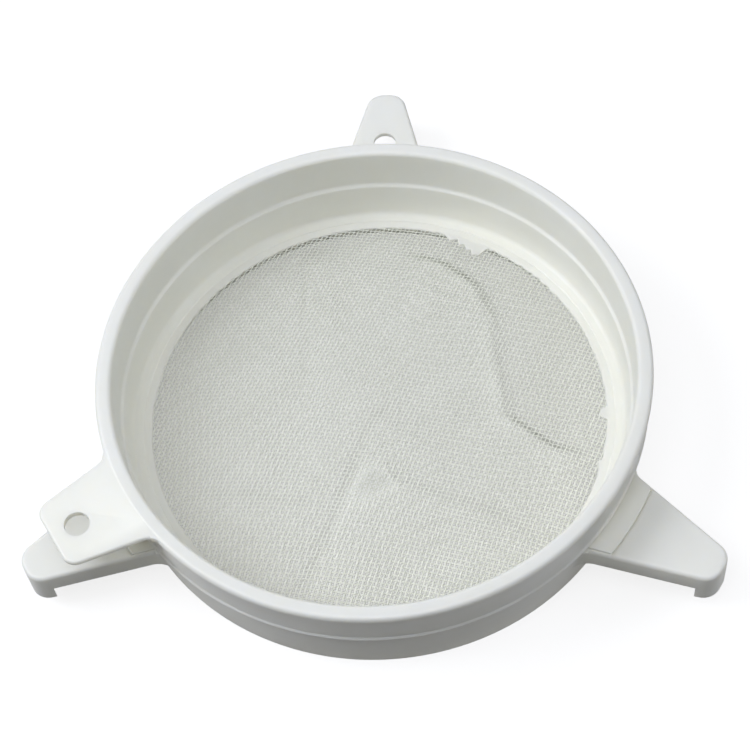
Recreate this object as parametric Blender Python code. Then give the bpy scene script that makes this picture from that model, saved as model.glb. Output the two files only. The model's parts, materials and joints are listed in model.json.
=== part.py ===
"""Double sieve strainer for honey.

A round upper sieve stands in a round lower sieve. The lower sieve has three hook arms that
carry it on the rim of a bucket. Each sieve is a moulded pan with a woven cloth held in a
slot around the inner edge of its floor.

Lengths in this file are millimetres until an object is made; heights are above the foot ring.
"""

from math import atan2, cos, pi, radians, sin, sqrt, tan

import bmesh
import bpy
from mathutils import Matrix, Vector

MM = 0.001

# Driving dimensions.
RIM_RADIUS = 120.0
HEIGHT = 52.0
UPPER_DEPTH = 43.8
LOWER_HEIGHT = 29.7
FOOT_RADIUS = 114.5
ARM_TIP_RADIUS = 169.4
UPPER_OPENING_RADIUS = 102.0
LOWER_OPENING_RADIUS = 105.0

# Walls, floors, fits and the slots that hold the cloths.
WALL = 2.1
EDGE_ROUNDING = 0.5
FLOOR_ROUNDING = 2.2
LEDGE_RISE = 0.3
GAP = 0.3
SLOT_DEPTH = 2.6
SLOT_LIP = 0.4

# Upper sieve.
RIM_WIDTH = 6.9
RIM_ROUNDING = 2.0
RIM_STRAIGHT = 5.0
SKIRT_BOTTOM = LOWER_HEIGHT + GAP
SKIRT_BOTTOM_RADIUS = 118.4
SKIRT_WALL = 2.4
UPPER_FLOOR = HEIGHT - UPPER_DEPTH
UPPER_FLOOR_THICKNESS = 2.0
UPPER_FLOOR_RADIUS = 110.0
UPPER_WALL_DRAFT = 1.0
UPPER_CLOTH = 0.6
STEP_HEIGHT = 30.8
STEP_WIDTH = 1.5
STEP_SLOPE = 1.2
SHOULDER_TOP = 29.4
SHOULDER_BOTTOM = 28.4
BOND_BAND_WIDTH = 3.1
BOND_BAND_DEPTH = 0.4

# Lower sieve.
LOWER_RIM_RADIUS = 117.4
LOWER_FLOOR_THICKNESS = 1.8
LOWER_CLOTH = 0.4
FOOT_HEIGHT = 1.5

# Hook arms, in each arm's own axes: x along the arm from the pan's axis, y across it.
ARM_AZIMUTHS = (90.0, 210.0, 330.0)
ARM_TOP = 26.6
ARM_DEPTH = 10.0
ARM_ROOT_X = 119.8
ARM_ROOT_HALF_WIDTH = 20.8
ARM_TAPER = 0.265
ARM_TIP_ROUNDING = 8.0
ARM_ROOT_FILLET = 8.0
ARM_EDGE_ROUNDING = 1.2
ARM_PLATE = 2.2
ARM_SKIRT = 2.0
ARM_ROOT_END = 115.5
ROOT_THICKENING = 1.0
HOOK_INNER_X = 161.7
HOOK_DEPTH = 17.5
HOOK_CORE_CORNER = 1.5
PAD_RADIUS = 127.5
PAD_HEIGHT = 0.5
PAD_INSET = 1.4
PAD_CORNER = 3.0
ARM_HOLE_X = 140.0
ARM_HOLE_RADIUS = 5.2

# Tab of the upper sieve, in its own axes like an arm's.
TAB_AZIMUTH = 212.5
TAB_TOP = 51.8
TAB_THICKNESS = 3.0
TAB_END_X = 154.0
TAB_END_HALF_WIDTH = 15.6
TAB_TAPER = 0.171
TAB_CORNER = 6.0
TAB_ROOT_FILLET = 8.0
TAB_ROOT_END = 118.6
TAB_WALL_RADIUS = 119.5
TAB_EDGE_ROUNDING = 1.1
TAB_HOLE_X = 142.2
TAB_HOLE_RADIUS = 5.4

# The pan's axis stands where it centres the whole part's box on the origin.
PAN_Y = (RIM_RADIUS - ARM_TIP_RADIUS) / 2

SEGMENTS = 96
HOLE_SEGMENTS = 24
FINE_ROUNDING = 1.5
FINE_STEPS = 4
COARSE_STEPS = 2
FILLET_STEPS = 5
ROOT_STEPS = 8
BEVEL_STEPS = 3
CUT_MARGIN = 2.0
SMOOTH_ANGLE = radians(40)

WHITE_PLASTIC = (0.86, 0.86, 0.82, 1.0)
WHITE_NYLON = (0.80, 0.80, 0.77, 1.0)


def clear_scene():
    for thing in list(bpy.data.objects):
        bpy.data.objects.remove(thing, do_unlink=True)


def material(name, colour, roughness):
    made = bpy.data.materials.new(name)
    made.use_nodes = True
    shader = made.node_tree.nodes["Principled BSDF"]
    shader.inputs["Base Color"].default_value = colour
    shader.inputs["Roughness"].default_value = roughness
    shader.inputs["Metallic"].default_value = 0.0
    return made


def arc(centre, radius, start, turn, steps):
    """Points of an arc, from the angle start through the angle turn."""
    angles = [start + turn * k / steps for k in range(steps + 1)]
    return [Vector((centre[0] + radius * cos(a), centre[1] + radius * sin(a))) for a in angles]


def rounded(corners):
    """A closed outline through corners (x, y, radius), each one rounded by its radius."""
    outline = []
    for i, (x, y, radius) in enumerate(corners):
        corner = Vector((x, y))
        if radius == 0:
            outline.append(corner)
            continue
        before = (Vector(corners[i - 1][:2]) - corner).normalized()
        after = (Vector(corners[(i + 1) % len(corners)][:2]) - corner).normalized()
        half = before.angle(after) / 2
        centre = corner + (before + after).normalized() * radius / sin(half)
        first = corner + before * radius / tan(half) - centre
        last = corner + after * radius / tan(half) - centre
        turn = atan2(first.cross(last), first.dot(last))
        steps = COARSE_STEPS if radius < FINE_ROUNDING else FINE_STEPS
        outline += arc(centre, radius, atan2(first.y, first.x), turn, steps)
    return outline


def mesh_object(name, bm, surface=None):
    """An object on the pan's axis from a mesh in millimetres."""
    bmesh.ops.recalc_face_normals(bm, faces=bm.faces)
    bmesh.ops.scale(bm, verts=bm.verts, vec=(MM, MM, MM))
    mesh = bpy.data.meshes.new(name)
    bm.to_mesh(mesh)
    bm.free()
    mesh.shade_smooth()
    mesh.set_sharp_from_angle(angle=SMOOTH_ANGLE)
    if surface:
        mesh.materials.append(surface)
    made = bpy.data.objects.new(name, mesh)
    bpy.context.scene.collection.objects.link(made)
    made.location = (0.0, PAN_Y * MM, 0.0)
    return made


def turned(profile):
    """A ring: the closed profile (radius, height) turned about the pan's axis."""
    bm = bmesh.new()
    corners = [bm.verts.new((p[0], 0.0, p[1])) for p in profile]
    edges = [bm.edges.new((a, b)) for a, b in zip(corners, corners[1:] + corners[:1])]
    bmesh.ops.spin(
        bm, geom=corners + edges, cent=(0, 0, 0), axis=(0, 0, 1), angle=2 * pi,
        steps=SEGMENTS, use_merge=True,
    )
    return bm


def raised(outline, bottom, top, rounding=0.0, round_bottom=False):
    """A prism on the outline, with the rim of its top, and of its bottom too, rounded."""
    bm = bmesh.new()
    face = bm.faces.new([bm.verts.new((p[0], p[1], bottom)) for p in outline])
    grown = bmesh.ops.extrude_face_region(bm, geom=[face])["geom"]
    lifted = [v for v in grown if isinstance(v, bmesh.types.BMVert)]
    bmesh.ops.translate(bm, verts=lifted, vec=(0.0, 0.0, top - bottom))
    bmesh.ops.recalc_face_normals(bm, faces=bm.faces)
    if rounding:
        heights = (bottom, top) if round_bottom else (top,)
        rims = [e for e in bm.edges if all(v.co.z in heights for v in e.verts)]
        bmesh.ops.bevel(
            bm, geom=rims, offset=rounding, segments=BEVEL_STEPS, profile=0.5, affect="EDGES",
            clamp_overlap=False,
        )
    return bm


def helper(name, bm, group, azimuth):
    """A shape that is added to or cut from a pan, turned to its azimuth about the pan's axis."""
    made = mesh_object(name, bm)
    made.rotation_euler = (0.0, 0.0, radians(azimuth))
    made.hide_render = True
    made.display_type = "WIRE"
    bpy.context.scene.collection.objects.unlink(made)
    group.objects.link(made)
    return made


def shape_group(name):
    group = bpy.data.collections.new(name)
    bpy.context.scene.collection.children.link(group)
    return group


def combine(target, group, operation):
    step = target.modifiers.new(group.name, "BOOLEAN")
    step.operation = operation
    step.operand_type = "COLLECTION"
    step.collection = group
    step.solver = "EXACT"


def root_fillet(wall_radius, root_x, root_half_width, taper, radius):
    """The arc that leads from a round wall into an arm's tapering side, at positive y.

    Its centre is the radius away from the side and the wall radius plus the radius away from
    the pan's axis. It runs from the wall to the side.
    """
    along = Vector((1.0, -taper)).normalized()
    outward = Vector((taper, 1.0)).normalized()
    beside = Vector((root_x, root_half_width)) + outward * radius
    back = beside.dot(along)
    centre_distance = wall_radius + radius
    back -= sqrt(back**2 - beside.length_squared + centre_distance**2)
    centre = beside - along * back
    to_wall = -centre.normalized()
    to_side = -outward
    turn = atan2(to_wall.cross(to_side), to_wall.dot(to_side))
    return arc(centre, radius, atan2(to_wall.y, to_wall.x), turn, FILLET_STEPS)


def arm_outline(wall_radius, root, half_width_at_root, taper, end_x, corner, fillet, root_end):
    """Plan of an arm: a rounded tip, tapering sides, and fillets into the round wall."""
    side = root_fillet(wall_radius, root, half_width_at_root, taper, fillet)
    end_half_width = half_width_at_root - taper * (end_x - root)
    spread = atan2(side[0].y, side[0].x)
    inside = arc((0, 0), root_end, spread, -2 * spread, ROOT_STEPS)
    tip = [(end_x, -end_half_width, corner), (end_x, end_half_width, corner)]
    lower = [(p.x, -p.y, 0) for p in side]
    upper = [(p.x, p.y, 0) for p in reversed(side)]
    return rounded(lower + tip + upper + [(p.x, p.y, 0) for p in inside])


def slot(opening_radius, floor, thickness):
    """The slot around a floor's inner edge, from its lower lip to its upper lip."""
    low = floor + SLOT_LIP
    high = floor + thickness - SLOT_LIP
    end = opening_radius + SLOT_DEPTH
    return [(opening_radius, low, 0), (end, low, 0), (end, high, 0), (opening_radius, high, 0)]


def upper_profile():
    """Section of the upper pan: rolled rim with a hanging skirt, stepped wall, floor ledge."""
    rim_inner = RIM_RADIUS - RIM_WIDTH
    channel_top = HEIGHT - WALL
    step_inner = UPPER_FLOOR_RADIUS + UPPER_WALL_DRAFT
    step_outer = step_inner + STEP_WIDTH
    floor_top = UPPER_FLOOR + UPPER_FLOOR_THICKNESS
    ledge = floor_top + BOND_BAND_DEPTH
    band_edge = UPPER_OPENING_RADIUS + BOND_BAND_WIDTH
    return rounded([
        (RIM_RADIUS, HEIGHT, RIM_ROUNDING),
        (RIM_RADIUS, HEIGHT - RIM_STRAIGHT, 0),
        (SKIRT_BOTTOM_RADIUS, SKIRT_BOTTOM, EDGE_ROUNDING),
        (SKIRT_BOTTOM_RADIUS - SKIRT_WALL, SKIRT_BOTTOM, 0),
        (RIM_RADIUS - WALL, channel_top, 0),
        (rim_inner + WALL, channel_top, 0),
        (step_outer + WALL, SHOULDER_TOP, 0),
        (step_inner + WALL, SHOULDER_BOTTOM, 0),
        (UPPER_FLOOR_RADIUS + WALL, UPPER_FLOOR, EDGE_ROUNDING),
        (UPPER_OPENING_RADIUS, UPPER_FLOOR, 0),
        *slot(UPPER_OPENING_RADIUS, UPPER_FLOOR, UPPER_FLOOR_THICKNESS),
        (UPPER_OPENING_RADIUS, floor_top, 0),
        (band_edge, floor_top, 0),
        (band_edge + BOND_BAND_DEPTH, ledge, 0),
        (UPPER_FLOOR_RADIUS, ledge + LEDGE_RISE, FLOOR_ROUNDING),
        (step_inner, STEP_HEIGHT - STEP_SLOPE, EDGE_ROUNDING),
        (step_outer, STEP_HEIGHT, EDGE_ROUNDING),
        (rim_inner, HEIGHT, RIM_ROUNDING),
    ])


def lower_profile():
    """Section of the lower pan: tapering wall on a foot ring, with a floor ledge above it."""
    floor_top = FOOT_HEIGHT + LOWER_FLOOR_THICKNESS
    inner_foot = FOOT_RADIUS - WALL
    return rounded([
        (LOWER_RIM_RADIUS, LOWER_HEIGHT, EDGE_ROUNDING),
        (FOOT_RADIUS, 0.0, 0),
        (inner_foot, 0.0, 0),
        (inner_foot, FOOT_HEIGHT, 0),
        (LOWER_OPENING_RADIUS, FOOT_HEIGHT, 0),
        *slot(LOWER_OPENING_RADIUS, FOOT_HEIGHT, LOWER_FLOOR_THICKNESS),
        (LOWER_OPENING_RADIUS, floor_top, 0),
        (inner_foot + EDGE_ROUNDING, floor_top + LEDGE_RISE, FLOOR_ROUNDING),
        (LOWER_RIM_RADIUS - WALL, LOWER_HEIGHT, EDGE_ROUNDING),
    ])


def lower_wall_radius(height):
    """Outer radius of the lower pan's wall at a height."""
    return FOOT_RADIUS + (LOWER_RIM_RADIUS - FOOT_RADIUS) * height / LOWER_HEIGHT


def arm_half_width(x, inset=0.0):
    """Half the arm's width at x, less an inset measured square to its sides."""
    return ARM_ROOT_HALF_WIDTH - ARM_TAPER * (x - ARM_ROOT_X) - inset * sqrt(1 + ARM_TAPER**2)


def arm_body():
    """An arm's outer shape, with the block at its tip that hangs outside the bucket's rim."""
    outline = arm_outline(
        lower_wall_radius(ARM_TOP), ARM_ROOT_X, ARM_ROOT_HALF_WIDTH, ARM_TAPER,
        ARM_TIP_RADIUS, ARM_TIP_ROUNDING, ARM_ROOT_FILLET, ARM_ROOT_END,
    )
    bm = raised(outline, ARM_TOP - ARM_DEPTH, ARM_TOP, ARM_EDGE_ROUNDING)
    bmesh.ops.bisect_plane(
        bm, geom=bm.verts[:] + bm.edges[:] + bm.faces[:], plane_co=(HOOK_INNER_X, 0, 0),
        plane_no=(1, 0, 0),
    )
    bm.faces.ensure_lookup_table()
    under_tip = [
        f for f in bm.faces
        if f.normal.z < -0.9 and f.calc_center_median().x > HOOK_INNER_X
    ]
    grown = bmesh.ops.extrude_face_region(bm, geom=under_tip)["geom"]
    lowered = [v for v in grown if isinstance(v, bmesh.types.BMVert)]
    bmesh.ops.translate(bm, verts=lowered, vec=(0.0, 0.0, ARM_DEPTH - HOOK_DEPTH))
    bmesh.ops.delete(bm, geom=under_tip, context="FACES")
    return bm


def pad_body():
    """A thin raised pad around the pan's wall, on the arm's root."""
    root_half = arm_half_width(ARM_ROOT_END, PAD_INSET)
    end_half = arm_half_width(PAD_RADIUS, PAD_INSET)
    reach = atan2(end_half, PAD_RADIUS)
    spread = atan2(root_half, ARM_ROOT_END)
    front = arc((0, 0), PAD_RADIUS, -reach, 2 * reach, ROOT_STEPS)
    back = arc((0, 0), ARM_ROOT_END, spread, -2 * spread, ROOT_STEPS)
    corners = [(p.x, p.y, PAD_CORNER if p in (front[0], front[-1]) else 0) for p in front]
    corners += [(p.x, p.y, 0) for p in back]
    return raised(rounded(corners), ARM_TOP - ARM_PLATE / 2, ARM_TOP + PAD_HEIGHT)


def arm_hollow():
    """Space under the arm's plate, between its side skirts."""
    root_x = LOWER_RIM_RADIUS + ROOT_THICKENING
    corners = [
        (root_x, -arm_half_width(root_x, ARM_SKIRT), 0),
        (HOOK_INNER_X, -arm_half_width(HOOK_INNER_X, ARM_SKIRT), 0),
        (HOOK_INNER_X, arm_half_width(HOOK_INNER_X, ARM_SKIRT), 0),
        (root_x, arm_half_width(root_x, ARM_SKIRT), 0),
    ]
    return raised(rounded(corners), ARM_TOP - ARM_DEPTH - CUT_MARGIN, ARM_TOP - ARM_PLATE)


def hook_hollow():
    """Core of the tip's block, open below."""
    inner_x = HOOK_INNER_X + ARM_SKIRT
    end_x = ARM_TIP_RADIUS - ARM_SKIRT
    corners = [
        (inner_x, -arm_half_width(inner_x, ARM_SKIRT), 0),
        (end_x, -arm_half_width(end_x, ARM_SKIRT) + HOOK_CORE_CORNER, 0),
        (end_x, arm_half_width(end_x, ARM_SKIRT) - HOOK_CORE_CORNER, 0),
        (inner_x, arm_half_width(inner_x, ARM_SKIRT), 0),
    ]
    return raised(rounded(corners), ARM_TOP - HOOK_DEPTH - CUT_MARGIN, ARM_TOP - ARM_PLATE)


def round_cutter(x, radius, bottom, top):
    outline = arc((x, 0.0), radius, 0.0, 2 * pi, HOLE_SEGMENTS)[:-1]
    return raised(outline, bottom - CUT_MARGIN, top + CUT_MARGIN)


def make_lower_frame(plastic):
    frame = mesh_object("lower_sieve_frame", turned(lower_profile()), plastic)
    added = shape_group("lower_added")
    cut = shape_group("lower_cut")
    for azimuth in ARM_AZIMUTHS:
        helper(f"arm_{azimuth:.0f}", arm_body(), added, azimuth)
        helper(f"pad_{azimuth:.0f}", pad_body(), added, azimuth)
        helper(f"arm_hollow_{azimuth:.0f}", arm_hollow(), cut, azimuth)
        helper(f"hook_hollow_{azimuth:.0f}", hook_hollow(), cut, azimuth)
    hole = round_cutter(ARM_HOLE_X, ARM_HOLE_RADIUS, ARM_TOP - ARM_PLATE, ARM_TOP)
    helper("arm_hole", hole, cut, ARM_AZIMUTHS[0])
    combine(frame, added, "UNION")
    combine(frame, cut, "DIFFERENCE")
    return frame


def make_upper_frame(plastic):
    frame = mesh_object("upper_sieve_frame", turned(upper_profile()), plastic)
    added = shape_group("upper_added")
    cut = shape_group("upper_cut")
    root_half_width = TAB_END_HALF_WIDTH + TAB_TAPER * (TAB_END_X - RIM_RADIUS)
    outline = arm_outline(
        TAB_WALL_RADIUS, RIM_RADIUS, root_half_width, TAB_TAPER, TAB_END_X,
        TAB_CORNER, TAB_ROOT_FILLET, TAB_ROOT_END,
    )
    bottom = TAB_TOP - TAB_THICKNESS
    tab = raised(outline, bottom, TAB_TOP, TAB_EDGE_ROUNDING, round_bottom=True)
    helper("tab", tab, added, TAB_AZIMUTH)
    helper("tab_hole", round_cutter(TAB_HOLE_X, TAB_HOLE_RADIUS, bottom, TAB_TOP), cut, TAB_AZIMUTH)
    combine(frame, added, "UNION")
    combine(frame, cut, "DIFFERENCE")
    return frame


def make_cloth(name, radius, middle, thickness, nylon):
    bm = bmesh.new()
    bmesh.ops.create_cone(
        bm, cap_ends=True, cap_tris=False, segments=SEGMENTS, radius1=radius, radius2=radius,
        depth=thickness, matrix=Matrix.Translation((0.0, 0.0, middle)),
    )
    return mesh_object(name, bm, nylon)


def make_lift_axis():
    """An empty on the pans' common axis, along which the upper sieve lifts out."""
    axis = bpy.data.objects.new("upper_sieve_lift", None)
    bpy.context.scene.collection.objects.link(axis)
    axis.location = (0.0, PAN_Y * MM, 0.0)
    return axis


def ride_on(parent, *children):
    for child in children:
        child.parent = parent
        child.location = (0.0, 0.0, 0.0)


def main():
    clear_scene()
    plastic = material("white_plastic", WHITE_PLASTIC, 0.42)
    upper_nylon = material("upper_nylon", WHITE_NYLON, 0.5)
    lower_nylon = material("lower_nylon", WHITE_NYLON, 0.55)
    lower_plastic = material("lower_white_plastic", WHITE_PLASTIC, 0.45)

    make_lower_frame(lower_plastic)
    make_cloth(
        "lower_sieve_cloth", LOWER_OPENING_RADIUS + SLOT_DEPTH - GAP,
        FOOT_HEIGHT + LOWER_FLOOR_THICKNESS / 2, LOWER_CLOTH, lower_nylon,
    )
    upper_frame = make_upper_frame(plastic)
    upper_cloth = make_cloth(
        "upper_sieve_cloth", UPPER_OPENING_RADIUS + SLOT_DEPTH - GAP,
        UPPER_FLOOR + UPPER_FLOOR_THICKNESS / 2, UPPER_CLOTH, upper_nylon,
    )
    ride_on(make_lift_axis(), upper_frame, upper_cloth)


main()
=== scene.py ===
"""Looks of the double sieve strainer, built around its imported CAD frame.

Both pans are made again as fine meshes on the CAD's own sizes. Both cloths are woven from real
threads: a coarse one in the upper pan and a fine, creased one in the lower pan.

Lengths in this file are millimetres until an object is made; heights are above the foot ring,
and plan positions are measured from the pans' axis.
"""

import json
from math import atan2, cos, exp, hypot, pi, radians, sin, sqrt, tan

import bmesh
import bpy
import numpy as np
from mathutils import Matrix, Vector, noise

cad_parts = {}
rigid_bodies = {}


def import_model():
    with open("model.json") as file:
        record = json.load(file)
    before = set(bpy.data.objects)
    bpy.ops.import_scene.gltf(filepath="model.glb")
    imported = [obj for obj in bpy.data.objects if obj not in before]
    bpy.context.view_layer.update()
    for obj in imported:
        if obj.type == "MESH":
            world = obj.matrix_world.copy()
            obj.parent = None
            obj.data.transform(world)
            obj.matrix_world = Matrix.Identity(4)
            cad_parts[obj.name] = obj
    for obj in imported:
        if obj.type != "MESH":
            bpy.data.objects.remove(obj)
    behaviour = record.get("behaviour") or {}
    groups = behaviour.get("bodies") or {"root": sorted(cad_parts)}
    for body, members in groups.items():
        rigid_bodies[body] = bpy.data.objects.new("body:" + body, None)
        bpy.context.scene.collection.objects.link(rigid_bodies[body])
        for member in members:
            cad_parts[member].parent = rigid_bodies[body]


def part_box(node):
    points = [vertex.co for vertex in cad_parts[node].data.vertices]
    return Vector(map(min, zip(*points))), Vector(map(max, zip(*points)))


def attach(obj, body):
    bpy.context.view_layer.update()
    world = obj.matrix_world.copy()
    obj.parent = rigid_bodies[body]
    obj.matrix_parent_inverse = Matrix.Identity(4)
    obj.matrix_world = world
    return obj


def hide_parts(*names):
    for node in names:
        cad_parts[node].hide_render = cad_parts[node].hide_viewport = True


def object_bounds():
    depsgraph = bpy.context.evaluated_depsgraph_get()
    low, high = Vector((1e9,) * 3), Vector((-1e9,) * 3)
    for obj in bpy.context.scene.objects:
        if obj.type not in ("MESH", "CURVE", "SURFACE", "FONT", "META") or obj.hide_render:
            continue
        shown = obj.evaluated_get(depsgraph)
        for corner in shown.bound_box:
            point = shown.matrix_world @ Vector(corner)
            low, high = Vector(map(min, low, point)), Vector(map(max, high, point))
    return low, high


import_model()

MM = 0.001
cad_low, cad_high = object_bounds()


def frame_box(node):
    """A CAD node's lowest and highest corners, in millimetres."""
    low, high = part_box(node)
    return low / MM, high / MM


UPPER_LOW, UPPER_HIGH = frame_box("upper_sieve_frame")
_, LOWER_HIGH = frame_box("lower_sieve_frame")
UPPER_CLOTH_LOW, UPPER_CLOTH_HIGH = frame_box("upper_sieve_cloth")
LOWER_CLOTH_LOW, LOWER_CLOTH_HIGH = frame_box("lower_sieve_cloth")

# Driving dimensions, from the frame.
RIM_RADIUS = UPPER_HIGH.x
PAN_Y = UPPER_HIGH.y - RIM_RADIUS
HEIGHT = UPPER_HIGH.z
LOWER_HEIGHT = LOWER_HIGH.z
UPPER_FLOOR = UPPER_LOW.z
ARM_TIP_RADIUS = LOWER_HIGH.y - PAN_Y
UPPER_CLOTH_RADIUS = UPPER_CLOTH_HIGH.x
LOWER_CLOTH_RADIUS = LOWER_CLOTH_HIGH.x
UPPER_CLOTH_HEIGHT = (UPPER_CLOTH_LOW.z + UPPER_CLOTH_HIGH.z) / 2
LOWER_CLOTH_HEIGHT = (LOWER_CLOTH_LOW.z + LOWER_CLOTH_HIGH.z) / 2

# Walls, floors and fits, as in the CAD. SLOT_DEPTH is how deep a cloth's edge stands in the
# plastic of its ledge.
WALL = 2.1
EDGE_ROUNDING = 0.5
SOFT_EDGE = 0.3
FLOOR_ROUNDING = 2.2
LEDGE_RISE = 0.3
GAP = 0.3
SLOT_DEPTH = 2.6
UPPER_OPENING_RADIUS = UPPER_CLOTH_RADIUS + GAP - SLOT_DEPTH
LOWER_OPENING_RADIUS = LOWER_CLOTH_RADIUS + GAP - SLOT_DEPTH

# Upper sieve.
RIM_WIDTH = 6.9
RIM_ROUNDING = 2.0
RIM_LIP = 3.6
RIM_LIP_STEP = 0.7
SKIRT_BOTTOM = LOWER_HEIGHT + GAP
SKIRT_BOTTOM_RADIUS = 118.4
SKIRT_WALL = 2.4
BEAD_HEIGHT = 0.9
BEAD_SLOPE = 1.0
BEAD_WIDTH = 0.8
UPPER_FLOOR_THICKNESS = 2.0
UPPER_FLOOR_RADIUS = 110.0
UPPER_WALL_DRAFT = 1.0
STEP_HEIGHT = 30.8
STEP_WIDTH = 1.5
STEP_SLOPE = 1.2
STEP_INNER_ROUNDING = 1.5
STEP_OUTER_ROUNDING = 2.0
SHOULDER_TOP = 29.4
SHOULDER_BOTTOM = 28.4
BOND_BAND_WIDTH = 3.1
BOND_BAND_DEPTH = 0.4

# Lower sieve.
LOWER_RIM_RADIUS = 117.4
FOOT_RADIUS = 114.5
LOWER_FLOOR_THICKNESS = 1.8
FOOT_HEIGHT = 1.5

# Hook arms, in each arm's own axes: x along the arm from the pans' axis, y across it.
ARM_AZIMUTHS = (90.0, 210.0, 330.0)
ARM_TOP = 26.6
ARM_DEPTH = 10.0
ARM_ROOT_X = 119.8
ARM_ROOT_HALF_WIDTH = 20.8
ARM_TAPER = 0.265
ARM_TIP_ROUNDING = 8.0
ARM_ROOT_FILLET = 11.0
ARM_EDGE_ROUNDING = 1.8
ARM_CLEAR_RADIUS = 119.0
ARM_PLATE = 2.2
ARM_SKIRT = 2.0
ARM_ROOT_END = 115.5
ROOT_THICKENING = 1.0
HOOK_INNER_X = 161.7
HOOK_DEPTH = 17.5
HOOK_CORE_CORNER = 1.5
PAD_RADIUS = 127.5
PAD_HEIGHT = 0.9
PAD_INSET = 0.9
PAD_CORNER = 0.8
PAD_GROOVE_WIDTH = 0.8
PAD_GROOVE_DEPTH = 0.9
ARM_HOLE_X = 140.0
ARM_HOLE_RADIUS = 5.2

# Tab of the upper sieve, in its own axes like an arm's.
TAB_AZIMUTH = 212.5
TAB_TOP = 51.8
TAB_THICKNESS = 3.0
TAB_END_X = 154.0
TAB_END_HALF_WIDTH = 15.6
TAB_TAPER = 0.171
TAB_CORNER = 6.0
TAB_ROOT_FILLET = 8.0
TAB_ROOT_END = 118.6
TAB_WALL_RADIUS = 119.5
TAB_EDGE_ROUNDING = 1.3
TAB_CLEAR_RADIUS = 121.2
TAB_HOLE_X = 142.2
TAB_HOLE_RADIUS = 5.4

# The upper pan's plastic ran out over the cloth, a little all round and further at some marks:
# each mark's azimuth, half width and reach.
FLASH_MARKS = (
    (63.9, 3.6, 6.4),
    (67.6, 3.8, 3.6),
    (71.6, 3.0, 2.2),
    (-0.2, 2.6, 3.6),
    (-15.3, 1.8, 1.8),
    (-53.6, 2.6, 4.8),
)
FLASH_RISE = 0.45
FLASH_DEPTH = 3 * FLASH_RISE
FLASH_SINK = FLASH_RISE / 4
FLASH_STEPS = 1080
FLASH_EDGE = 0.5
FLASH_LUMP = 2.2
FLASH_UNEVENNESS = 0.5

# Fineness of the meshes, and what cuts and shading need.
SEGMENTS = 240
HOLE_SEGMENTS = 64
FINE_ROUNDING = 1.5
FINE_STEPS = 8
COARSE_STEPS = 4
FILLET_STEPS = 14
ROOT_STEPS = 20
BEVEL_STEPS = 6
CUT_MARGIN = 2.0
SMOOTH_ANGLE = radians(35)
FACING_DOWN = -0.9

# Weaves of both cloths. Each family's pitch and the direction across it are those at the
# pans' axis, and a stretch is how fast the thread count per millimetre grows to +X and +Y.
UPPER_WARP = {"pitch": 1.848, "across": 158.6, "stretch": (0.0004, 0.0004),
              "thread": 0.56, "crimp": 0.28}
UPPER_WEFT = {"pitch": 1.891, "across": 82.3, "stretch": (0.0012, 0.00096),
              "thread": 0.44, "crimp": 0.22}
UPPER_SIDES = 5
CREST_SHARE = 0.2
CROSSING_MARGIN = 1.25
CROSSING_TRIES = 6
THREAD_DRIFT = 0.035
THREAD_SEED = 7
THREAD_END_MARGIN = 0.5
LOWER_THREAD = 0.26
LOWER_WARP = {"pitch": 0.70, "across": 76.0}
LOWER_WEFT = {"pitch": 0.70, "across": 166.0}
LOWER_SIDES = 4
LOWER_STEP = 3.6

# Slow waves of both cloths: height, length from one to the next, and the place in the noise.
UPPER_WAVES = (0.45, 48.0, 3.1)
UPPER_SAG = 0.25
LOWER_WAVES = (0.5, 30.0, 9.7)

# Folds of the lower cloth: the line at the foot of each fold's steep side, its height, and the
# widths of its steep and its gentle side. A fold rises on the right of its line's way. It fades
# out over FOLD_FADE at its line's ends, and every lift does over RIM_FADE at the cloth's edge.
FOLDS = (
    ([(-38, 6), (-39, 40), (-41, 66), (-42, 98)], 4.2, 7.0, 22.0),
    ([(-38, -90), (-29, -66), (-21, -42), (-13, -15), (-7, 2), (3, 16)], 4.2, 9.0, 24.0),
    ([(6, 96), (31, 86), (46, 74), (55, 55), (58, 24), (62, 2), (80, -12), (97, -14)],
     5.0, 7.0, 26.0),
    ([(2, -16), (10, -27), (24, -33), (42, -38), (58, -46), (78, -60)], 2.6, 8.0, 16.0),
    ([(-82, -34), (-56, -34), (-26, -40)], 1.6, 6.0, 14.0),
)
CLOTH_SLACK = 1.2
FOLD_FADE = 16.0
FOLD_TAIL = 3
RIM_FADE = 12.0

# The lighter and the deeper tone of each material, and how much rougher handling marks are.
PLASTIC_TONES = ((0.945, 0.928, 0.815), (0.925, 0.903, 0.775))
UPPER_NYLON_TONES = ((0.96, 0.97, 0.87), (0.92, 0.93, 0.82))
LOWER_NYLON_TONES = ((0.70, 0.71, 0.62), (0.62, 0.63, 0.54))
FLOOR_TONES = ((0.30, 0.30, 0.295), (0.27, 0.27, 0.265))
WORN_ROUGHNESS = 0.12

# Where a Mix node has its two colour inputs and its colour output.
MIX_COLOURS = (6, 7)
MIX_RESULT = 2

# Studio lights: name, azimuth, elevation and power. Their size and distance are in metres.
LIGHTS = (
    ("key_left", 180.0, 45.0, 17.8),
    ("high_front", 265.0, 72.0, 9.0),
    ("fill_right", 0.0, 30.0, 7.5),
    ("fill_front", 225.0, 40.0, 1.5),
    ("fill_back", 85.0, 35.0, 3.5),
)
LIGHT_COLOUR = (0.885, 0.91, 1.0)
LIGHT_SIZE = 0.9
LIGHT_DISTANCE = 1.6

# Brightness of the surroundings, from straight below (0) to straight above (1).
SKY_STOPS = ((0.0, 0.10), (0.45, 0.04), (0.55, 0.04), (1.0, 0.06))
SKY_BLUE_SHARE = 0.985

# The floor, in metres.
FLOOR_RADIUS = 12.0
FLOOR_SEGMENTS = 96
FLOOR_DROP = 0.0001

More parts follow.
